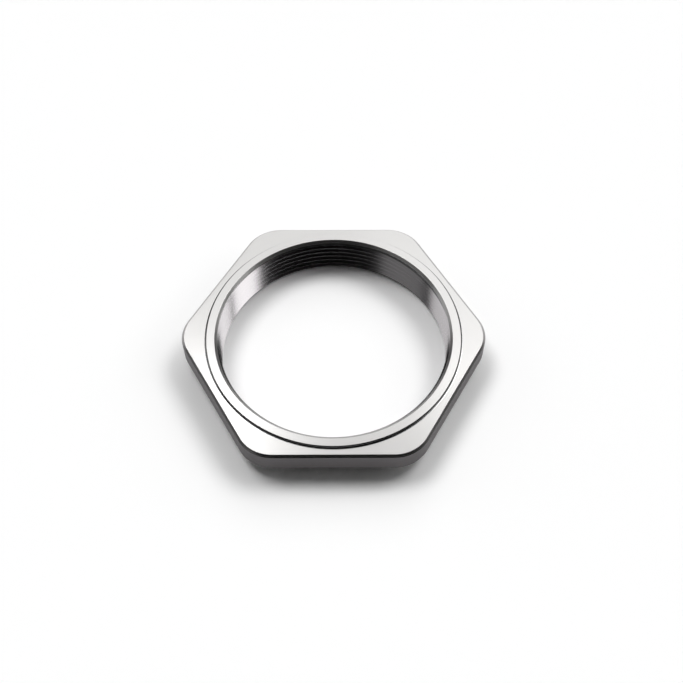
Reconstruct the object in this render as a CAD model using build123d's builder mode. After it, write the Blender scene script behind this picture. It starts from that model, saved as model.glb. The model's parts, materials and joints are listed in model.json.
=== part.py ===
"""Axle nut: a thin hexagon nut with a raised land on its outer face and a plain collar below.

It is turned from one piece of bar, its flats are milled and its bore is threaded.
Millimetres. The origin is on the thread's axis at the collar's seat, +Z points out of the nut,
and two of the six flats face +Y and -Y. The bore is drawn at the crests of its fine thread.
"""

import os
from math import radians, tan

from build123d import *

# Thread: metric fine, right hand
thread_diameter = 56.0
thread_pitch = 1.5
# the crests of a nut's metric thread stand this many pitches inside its nominal diameter
crest_pitches = 1.0825

# Countersink that leads into the thread at each end, and the break at its outer mouth
mouth_clearance = 0.5
countersink_angle = 120.0
mouth_break = 0.55

# Hexagon
flat_wall = 4.5
hexagon_thickness = 6.0
edge_break = 0.6
corner_rounding = 9.0

# Raised land on the outer face
land_width = 1.9
land_height = 0.7
land_edge_break = 0.1

# Collar that seats the nut
collar_wall = 2.0
collar_height = 3.3
collar_edge_break = 0.4

# Radius that the turning tool leaves at the foot of the land and of the collar
root_radius = 0.5

# Worked out from the sizes above
crest_radius = (thread_diameter - crest_pitches * thread_pitch) / 2
mouth_radius = (thread_diameter + mouth_clearance) / 2
countersink_slope = tan(radians(countersink_angle / 2))
seat_depth = (mouth_radius - crest_radius) / countersink_slope
outer_depth = mouth_break + (mouth_radius - mouth_break - crest_radius) / countersink_slope
flat_radius = thread_diameter / 2 + flat_wall
land_radius = mouth_radius + land_width
collar_radius = thread_diameter / 2 + collar_wall
hexagon_top = collar_height + hexagon_thickness
total_height = hexagon_top + land_height

with BuildPart() as axle_nut:
    # Hexagon: its corners are rounded in one sweep from flat to flat, and both rims are broken
    with BuildSketch(Plane.XY.offset(collar_height)) as hexagon:
        RegularPolygon(radius=flat_radius, side_count=6, major_radius=False)
        fillet(hexagon.vertices(), radius=corner_rounding)
    extrude(amount=hexagon_thickness)
    levels = axle_nut.edges().group_by(Axis.Z)
    chamfer(levels[0] + levels[-1], length=edge_break)

    # Land on the outer face
    with BuildSketch(Plane.XY.offset(hexagon_top)):
        Circle(land_radius)
    extrude(amount=land_height)

    # Collar below
    with BuildSketch():
        Circle(collar_radius)
    extrude(amount=collar_height)

    # The closed round edges are, from below, the collar's rim and foot and the land's foot and rim
    rings = axle_nut.edges().filter_by(lambda edge: edge.is_closed).sort_by(Axis.Z)
    fillet(rings[1:3], radius=root_radius)
    chamfer(axle_nut.edges().sort_by(Axis.Z)[0], length=collar_edge_break)
    chamfer(axle_nut.edges().sort_by(Axis.Z)[-1], length=land_edge_break)

    # Bore, with a countersink at each end
    with BuildSketch(Plane.XZ):
        with BuildLine():
            Polyline(
                (0, 0),
                (mouth_radius, 0),
                (crest_radius, seat_depth),
                (crest_radius, total_height - outer_depth),
                (mouth_radius - mouth_break, total_height - mouth_break),
                (mouth_radius, total_height),
                (0, total_height),
                close=True,
            )
        make_face()
    revolve(axis=Axis.Z, mode=Mode.SUBTRACT)

axle_nut.part.label = "axle_nut"

os.makedirs("parts", exist_ok=True)
export_step(axle_nut.part, "parts/axle_nut.step")
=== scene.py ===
import json
from math import cos, pi, radians, sin, tan

import bmesh
import bpy
import numpy as np
from mathutils import Matrix, Vector


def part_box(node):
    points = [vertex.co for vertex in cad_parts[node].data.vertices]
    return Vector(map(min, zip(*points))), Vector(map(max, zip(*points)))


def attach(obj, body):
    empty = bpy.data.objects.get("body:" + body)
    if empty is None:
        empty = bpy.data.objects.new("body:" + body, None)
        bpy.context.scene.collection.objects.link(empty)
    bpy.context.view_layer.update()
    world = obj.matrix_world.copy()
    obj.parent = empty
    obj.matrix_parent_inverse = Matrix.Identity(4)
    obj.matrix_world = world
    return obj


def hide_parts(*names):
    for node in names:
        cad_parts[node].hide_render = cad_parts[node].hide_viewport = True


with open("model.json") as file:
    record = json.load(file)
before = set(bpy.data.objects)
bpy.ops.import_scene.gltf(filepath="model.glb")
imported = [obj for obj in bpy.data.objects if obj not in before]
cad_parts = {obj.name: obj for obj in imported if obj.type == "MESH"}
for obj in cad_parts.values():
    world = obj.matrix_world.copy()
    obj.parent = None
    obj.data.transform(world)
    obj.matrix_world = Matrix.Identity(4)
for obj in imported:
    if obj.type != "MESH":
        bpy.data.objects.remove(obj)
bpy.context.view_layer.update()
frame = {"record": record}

# The axle nut
# One piece of steel bar, turned on its faces, land and collar, milled round its six flats and their
# corners, and threaded M56 x 1.5 through its bore, with a countersink at either end of the thread.
mm = 0.001
thread_mount = next(mount for mount in frame["record"]["mounts"] if mount["name"] == "thread")
nut_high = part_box("axle_nut")[1]

flat_radius = nut_high.y
corner_reach = nut_high.x
nut_height = nut_high.z
rim_break = 0.6 * mm
rim_rounding = 0.08 * mm

collar_radius = 30.0 * mm
collar_height = 3.3 * mm
collar_break = 0.4 * mm
land_radius = 30.15 * mm
land_height = 0.7 * mm
edge_rounding = 0.06 * mm
root_radius = 0.5 * mm

crest_radius = thread_mount["dims"]["r_mm"] * mm
thread_radius = 28.0 * mm
thread_pitch = 1.5 * mm
mouth_radius = 28.25 * mm
mouth_break = 0.55 * mm
mouth_rounding = 0.06 * mm
countersink_angle = radians(120)
countersink_slope = tan(countersink_angle / 2)

crest_share = 1 / 100
root_share = 1 / 8

columns = 480


def outline_radius(angle, inset):
    """Radius of the hexagon's outline at an angle, for a curve that runs inset inside it.

    A flat is a straight line at its distance from the axis. A corner is an arc that touches the two
    flats beside it, and its own radius follows from how far the corner reaches from the axis. Moving
    inwards brings the flats nearer to the axis and makes the arc's radius smaller.
    """
    peak = 1 / cos(pi / 6)
    rounding = (peak * flat_radius - corner_reach) / (peak - 1)
    centre = peak * (flat_radius - rounding)
    off_flat = np.abs(angle % (pi / 3) - pi / 6)
    off_corner = pi / 6 - off_flat
    flat = (flat_radius - inset) / np.cos(off_flat)
    half_chord = np.sqrt(np.maximum((rounding - inset) ** 2 - (centre * np.sin(off_corner)) ** 2, 0))
    corner = centre * np.cos(off_corner) + half_chord
    flat_end = np.arctan2(centre / 2, flat_radius - inset)
    return np.where(off_flat < flat_end, flat, corner)


def rounded_section(corners):
    """The nut's section outside its bore: straight runs joined by arcs that touch them.

    Each corner is a distance from the axis, a height and the radius of its arc. An arc starts and
    ends at its radius times the tangent of half the turn from the corner. Both runs get one more
    point close to the arc, so that the shading of a flat face stays flat up to its edge.
    """
    points = []
    for before, here, after in zip(corners, corners[1:], corners[2:]):
        corner = np.array(here[:2])
        towards = np.array(before[:2]) - corner
        onwards = np.array(after[:2]) - corner
        towards /= np.linalg.norm(towards)
        onwards /= np.linalg.norm(onwards)
        half_turn = (pi - np.arccos(np.clip(towards @ onwards, -1, 1))) / 2
        setback = here[2] * tan(half_turn)
        centre = corner + (towards + onwards) * setback / (1 + towards @ onwards)
        start = corner + towards * setback - centre
        end = corner + onwards * setback - centre
        share = np.linspace(0, 1, arc_steps + 1)[:, None]
        arc = np.sin((1 - share) * 2 * half_turn) * start + np.sin(share * 2 * half_turn) * end
        arc = centre + arc / sin(2 * half_turn)
        points += [arc[0] + towards * guard, *arc, arc[-1] + onwards * guard]
    return np.array(points)


def thread_depth(pitches):
    """How far the thread's surface stands outside its crests, as a share of its whole depth.

    A narrow crest and a root of an eighth of the pitch are joined by straight flanks.
    """
    from_crest = np.abs(pitches - np.round(pitches))
    return np.clip((from_crest - crest_share / 2) / ((1 - crest_share - root_share) / 2), 0, 1)


def closed_surface(name, regions):
    """One closed mesh from grids of points that share their borders.

    Each region is a grid, with a point for each column round the axis and each row along the section,
    and the number of its finish, or one for each cell. Points that coincide are made one, so that a
    cell with a side of no length becomes a triangle or goes.
    """
    points = []
    quads = []
    finishes = []
    start = 0
    for grid, finish in regions:
        wide, tall = grid.shape[:2]
        number = start + np.arange(wide * tall).reshape(wide, tall)
        start += wide * tall
        cell = np.stack([number[:-1, :-1], number[1:, :-1], number[1:, 1:], number[:-1, 1:]], axis=-1)
        points.append(grid.reshape(-1, 3))
        quads.append(cell.reshape(-1, 4))
        finishes.append(np.broadcast_to(finish, cell.shape[:2]).ravel())
    mesh = bpy.data.meshes.new(name)
    mesh.from_pydata(np.concatenate(points), [], np.concatenate(quads).tolist())
    mesh.polygons.foreach_set("material_index", np.concatenate(finishes).astype(np.int32))
    shell = bmesh.new()
    shell.from_mesh(mesh)
    bmesh.ops.remove_doubles(shell, verts=shell.verts, dist=weld_distance)
    bmesh.ops.recalc_face_normals(shell, faces=shell.faces)
    shell.to_mesh(mesh)
    shell.free()
    mesh.shade_smooth()
    mesh.set_sharp_from_angle(angle=sharp_angle)
    return mesh


arc_steps = 4
guard = 0.03 * mm
weld_distance = 0.0002 * mm
sharp_angle = radians(35)

angle = np.linspace(0, 2 * pi, columns + 1)[:, None]
around = np.stack([np.cos(angle), np.sin(angle)], axis=-1)
hexagon_top = nut_height - land_height
hexagon_rim = flat_radius - rim_break

# The section from the bore's upper mouth out over the land and the hexagon and in under the collar.
# It starts and ends with a point on a countersink, which only gives its first and last run their way.
lead = 1.0 * mm
section = rounded_section([
    (mouth_radius - mouth_break - countersink_slope * lead, nut_height - mouth_break - lead, 0),
    (mouth_radius - mouth_break, nut_height - mouth_break, mouth_rounding),
    (mouth_radius, nut_height, mouth_rounding),
    (land_radius, nut_height, edge_rounding),
    (land_radius, hexagon_top, root_radius),
    (hexagon_rim, hexagon_top, rim_rounding),
    (flat_radius, hexagon_top - rim_break, rim_rounding),
    (flat_radius, collar_height + rim_break, rim_rounding),
    (hexagon_rim, collar_height, rim_rounding),
    (collar_radius, collar_height, root_radius),
    (collar_radius, collar_break, edge_rounding),
    (collar_radius - collar_break, 0, edge_rounding),
    (mouth_radius, 0, mouth_rounding),
    (mouth_radius - countersink_slope * lead, lead, 0),
])
reach, level = section.T
on_hexagon = reach > land_radius + root_radius + guard
ring = np.where(on_hexagon, outline_radius(angle, flat_radius - reach), reach)
skin = np.dstack([ring[..., None] * around, np.broadcast_to(level, ring.shape)])


def corner_row(corner, step):
    """Row of the section at a step of the arc on one of its corners, counted from the first."""
    return corner * (arc_steps + 3) + 1 + step


foot_start, foot_end = corner_row(2, arc_steps), corner_row(3, arc_steps)
rim_start, rim_end = corner_row(4, arc_steps // 2), corner_row(5, arc_steps // 2)
low_rim_start, low_rim_end = corner_row(6, arc_steps // 2), corner_row(7, arc_steps // 2)

# The bore's rows follow the corners of the right-hand thread's section and end at the mouths. Between
# two rows lies a third, where the thread runs out into a countersink, or else on the row before it.
low_end = level[-1]
high_end = level[0]
thread_corners = np.array([crest_share, 1 - root_share, 1 + root_share, 2 - crest_share]) / 2
turns = np.arange(-1, int(nut_height / thread_pitch) + 1)
line = (turns[:, None] + thread_corners).ravel()
climb = np.clip((line + angle / (2 * pi)) * thread_pitch, low_end, high_end)


def cut_radius(height):
    """Radius of the threaded wall: the thread's section, taken round by the pitch for each turn."""
    depth = thread_depth(height / thread_pitch - angle / (2 * pi))
    return crest_radius + (thread_radius - crest_radius) * depth


def cone_radius(height):
    """Radius of the countersinks: from each mouth it falls by their slope times the way inwards."""
    low_cone = mouth_radius - countersink_slope * height
    high_cone = mouth_radius - mouth_break - countersink_slope * (nut_height - mouth_break - height)
    return np.maximum(low_cone, high_cone)


over = cone_radius(climb) - cut_radius(climb)
crossing = over[:, :-1] * over[:, 1:] < 0
change = np.where(crossing, over[:, :-1] - over[:, 1:], 1)
share = np.where(crossing, over[:, :-1], 0) / change
heights = np.repeat(climb, 2, axis=1)[:, :-1]
heights[:, 1::2] += share * np.diff(climb, axis=1)
countersunk = cone_radius(heights) > cut_radius(heights) - weld_distance
wall = np.maximum(cut_radius(heights), cone_radius(heights))

# A last row at either end closes a groove that is still open there
ends = heights[:, [0, -1]]
end_radius = cone_radius(ends)
wall = np.hstack([end_radius[:, :1], wall, end_radius[:, 1:]])
heights = np.hstack([ends[:, :1], heights, ends[:, 1:]])
bore = np.dstack([wall[..., None] * around, heights])

# The finishes by their numbers. A cell of the bore gets the painted shade, a darker tint, where all
# its corners are countersunk.
turned, milled_and_shaded, threaded, painted_shade, broken = 0, 1, 2, 3, 4
countersunk = np.pad(countersunk, ((0, 0), (1, 1)), mode="edge")
on_cone = countersunk[:-1, :-1] & countersunk[:-1, 1:] & countersunk[1:, :-1] & countersunk[1:, 1:]
nut_mesh = closed_surface("nut", [
    (skin[:, :foot_start + 1], turned),
    # Painted shade: the land's foot is given a dark tint for the shade in its corner.
    (skin[:, foot_start:foot_end + 1], painted_shade),
    (skin[:, foot_end:rim_start + 1], turned),
    (skin[:, rim_start:rim_end + 1], broken),
    # The flats are milled steel; their dark tint is painted shade for the shadowed floor and dark room
    # they face.
    (skin[:, rim_end:low_rim_start + 1], milled_and_shaded),
    (skin[:, low_rim_start:low_rim_end + 1], broken),
    (skin[:, low_rim_end:], turned),
    # Painted shade: the countersunk cells of the bore are given a dark tint for the dark they mirror.
    (bore, np.where(on_cone, painted_shade, threaded)),
])
nut = bpy.data.objects.new("nut", nut_mesh)
bpy.context.scene.collection.objects.link(nut)


patch_size = 14 * mm
tint_change = 0.04
dulling_change = 0.15


def steel(name, tint, roughness, anisotropy, mark_width, mark_depth, mark_axis):
    """Bright steel with the marks of its cutting tool.

    The marks are a noise of one coordinate, the distance from the axis on a turned face or the height
    on a wall, so that they run round the axis. They are its relief and make it duller or brighter.
    The tint changes a little from patch to patch.
    """
    material = bpy.data.materials.new(name)
    material.use_nodes = True
    nodes = material.node_tree.nodes
    links = material.node_tree.links
    shader = nodes["Principled BSDF"]
    shader.inputs["Metallic"].default_value = 1.0
    shader.inputs["Anisotropic"].default_value = anisotropy

    place = nodes.new("ShaderNodeTexCoord")
    flat_place = nodes.new("ShaderNodeVectorMath")
    flat_place.operation = "MULTIPLY"
    flat_place.inputs[1].default_value = (1, 1, 0)
    links.new(place.outputs["Object"], flat_place.inputs[0])
    outwards = nodes.new("ShaderNodeVectorMath")
    outwards.operation = "NORMALIZE"
    links.new(flat_place.outputs[0], outwards.inputs[0])
    section_line = nodes.new("ShaderNodeVectorMath")
    section_line.operation = "SUBTRACT"
    section_line.inputs[1].default_value = (0, 0, 1)
    links.new(outwards.outputs[0], section_line.inputs[0])
    links.new(section_line.outputs[0], shader.inputs["Tangent"])

    if mark_axis == "radius":
        distance = nodes.new("ShaderNodeVectorMath")
        distance.operation = "LENGTH"
        links.new(flat_place.outputs[0], distance.inputs[0])
        along = distance.outputs["Value"]
    else:
        split = nodes.new("ShaderNodeSeparateXYZ")
        links.new(place.outputs["Object"], split.inputs[0])
        along = split.outputs["Z"]

    marks = nodes.new("ShaderNodeTexNoise")
    marks.noise_dimensions = "1D"
    marks.inputs["Scale"].default_value = 1 / mark_width
    marks.inputs["Detail"].default_value = 3
    marks.inputs["Roughness"].default_value = 0.7
    links.new(along, marks.inputs["W"])
    relief = nodes.new("ShaderNodeBump")
    relief.inputs["Strength"].default_value = 1.0
    relief.inputs["Distance"].default_value = mark_depth
    links.new(marks.outputs["Fac"], relief.inputs["Height"])
    links.new(relief.outputs["Normal"], shader.inputs["Normal"])

    dulling = nodes.new("ShaderNodeMapRange")
    dulling.inputs["To Min"].default_value = roughness * (1 - dulling_change)
    dulling.inputs["To Max"].default_value = roughness * (1 + dulling_change)
    links.new(marks.outputs["Fac"], dulling.inputs["Value"])
    links.new(dulling.outputs[0], shader.inputs["Roughness"])

    patches = nodes.new("ShaderNodeTexNoise")
    patches.inputs["Scale"].default_value = 1 / patch_size
    patches.inputs["Detail"].default_value = 2
    links.new(place.outputs["Object"], patches.inputs["Vector"])
    shade = nodes.new("ShaderNodeMix")
    shade.data_type = "RGBA"
    shade.inputs[6].default_value = (*[(1 - tint_change) * c for c in tint], 1)
    shade.inputs[7].default_value = (*[(1 + tint_change) * c for c in tint], 1)
    links.new(patches.outputs["Fac"], shade.inputs[0])
    links.new(shade.outputs[2], shader.inputs["Base Color"])
    return material


# One row for each finish, in the order of its number. The finish of the countersinks and of the land's
# foot has a dark tint that is painted shade.
for name, tint, roughness, anisotropy, mark_width, mark_depth, mark_axis in (
    ("turned_faces", (0.4, 0.395, 0.39), 0.3, 0.5, 0.35 * mm, 0.002 * mm, "radius"),
    # Painted shade: the milled flats' tint is made dark for the shade they mirror. Their roughness and
    # grain are the real milled finish.
    ("milled_sides_painted_shade", (0.14, 0.132, 0.136), 0.5, 0.3, 0.5 * mm, 0.002 * mm, "height"),
    ("cut_thread", (0.55, 0.53, 0.54), 0.2, 0.0, 0.2 * mm, 0.001 * mm, "height"),
    # Painted shade: a dark tint for the countersinks and the land's foot, lit like the other steel.
    ("turned_painted_shade", (0.24, 0.24, 0.24), 0.22, 0.0, 0.2 * mm, 0.001 * mm, "radius"),
    ("broken_edges", (0.38, 0.37, 0.37), 0.28, 0.0, 0.2 * mm, 0.001 * mm, "height"),
):
    finish = steel(name, tint, roughness, anisotropy, mark_width, mark_depth, mark_axis)
    nut.data.materials.append(finish)
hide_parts("axle_nut")
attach(nut, "root")

# The floor
# A wide white sheet, seen white directly and in the metal. The light that it throws back on the nut
# is that of a dark sheet, so that the gap under the hexagon stays as deep as in the photograph.
floor_size = 4.0
white = 0.98
thrown_back = 0.2
floor_roughness = 0.9
bpy.ops.mesh.primitive_plane_add(size=floor_size)
floor = bpy.context.object
floor.name = "floor"
paper = bpy.data.materials.new("white_paper")
paper.use_nodes = True
paper_nodes = paper.node_tree.nodes
paper_links = paper.node_tree.links
ray = paper_nodes.new("ShaderNodeLightPath")
seen_directly = paper_nodes.new("ShaderNodeMath")
seen_directly.operation = "ADD"
seen_directly.use_clamp = True
paper_links.new(ray.outputs["Is Camera Ray"], seen_directly.inputs[0])
paper_links.new(ray.outputs["Is Glossy Ray"], seen_directly.inputs[1])
whiteness = paper_nodes.new("ShaderNodeMix")
whiteness.data_type = "RGBA"
whiteness.inputs[6].default_value = (thrown_back, thrown_back, thrown_back, 1)
whiteness.inputs[7].default_value = (white, white, white, 1)
paper_links.new(seen_directly.outputs[0], whiteness.inputs[0])
paper_shader = paper_nodes["Principled BSDF"]
paper_shader.inputs["Roughness"].default_value = floor_roughness
paper_shader.inputs["Specular IOR Level"].default_value = 0.0
paper_links.new(whiteness.outputs[2], paper_shader.inputs["Base Color"])
floor.data.materials.append(paper)

# The light
# Three strong soft boxes stand behind the nut, and weaker ones light the two sides of its bore. The
# room in front, where the camera stands, is dark and leaves the back of the bore black. Only what
# looks straight past the floor sees white.


def soft_box(name, azimuth, height, spread, irradiance):
    """A round source far away, seen under an angle of spread, that lights a facing surface so much."""
    lamp = bpy.data.lights.new(name, "SUN")
    lamp.energy = irradiance
    lamp.angle = radians(spread)
    box = bpy.data.objects.new(name, lamp)
    box.rotation_euler = (0, pi / 2 - radians(height), radians(azimuth))
    bpy.context.scene.collection.objects.link(box)


soft_box("left_box", 140, 63, 26, 1.35)
soft_box("right_box", 35, 54, 26, 1.15)
soft_box("back_box", 82, 47, 46, 0.93)
soft_box("right_side_box", -4, 36, 24, 0.25)
soft_box("right_low_box", 26, 26, 24, 0.2)
soft_box("left_side_box", 158, 24, 36, 0.26)
soft_box("front_box", 208, 34, 38, 0.07)

room_grey = 0.004
world = bpy.data.worlds.new("room")
bpy.context.scene.world = world
world.use_nodes = True
backdrop = world.node_tree.nodes["Background"]
path = world.node_tree.nodes.new("ShaderNodeLightPath")
seen = world.node_tree.nodes.new("ShaderNodeMix")
seen.inputs["A"].default_value = room_grey
seen.inputs["B"].default_value = 1.0
world.node_tree.links.new(path.outputs["Is Camera Ray"], seen.inputs["Factor"])
world.node_tree.links.new(seen.outputs["Result"], backdrop.inputs["Strength"])
backdrop.inputs["Color"].default_value = (1, 1, 1, 1)

# The camera
# It looks down at the nut from the front, close to square to two of the flats.
elevation = radians(56.645)
roll = radians(-0.163)
right_of_nut, above_nut, distance = -1.88 * mm, 1.672 * mm, 245.92 * mm
aim = Vector((0, 0, 9.3 * mm))

forward = Vector((0, cos(elevation), -sin(elevation)))
level_up = Vector((0, sin(elevation), cos(elevation)))
sideways = Vector((1, 0, 0)) * cos(roll) + level_up * sin(roll)
upwards = level_up * cos(roll) - Vector((1, 0, 0)) * sin(roll)
camera = bpy.data.objects.new("camera", bpy.data.cameras.new("camera"))
camera.data.sensor_width = 36.0
camera.data.lens = 54.52
camera.data.clip_start = 0.01
turn = Matrix((sideways, upwards, -forward)).transposed()
place = aim - sideways * right_of_nut - upwards * above_nut - forward * distance
camera.matrix_world = Matrix.Translation(place) @ turn.to_4x4()
bpy.context.scene.collection.objects.link(camera)
bpy.context.scene.camera = camera
bpy.context.scene.view_settings.view_transform = "Standard"
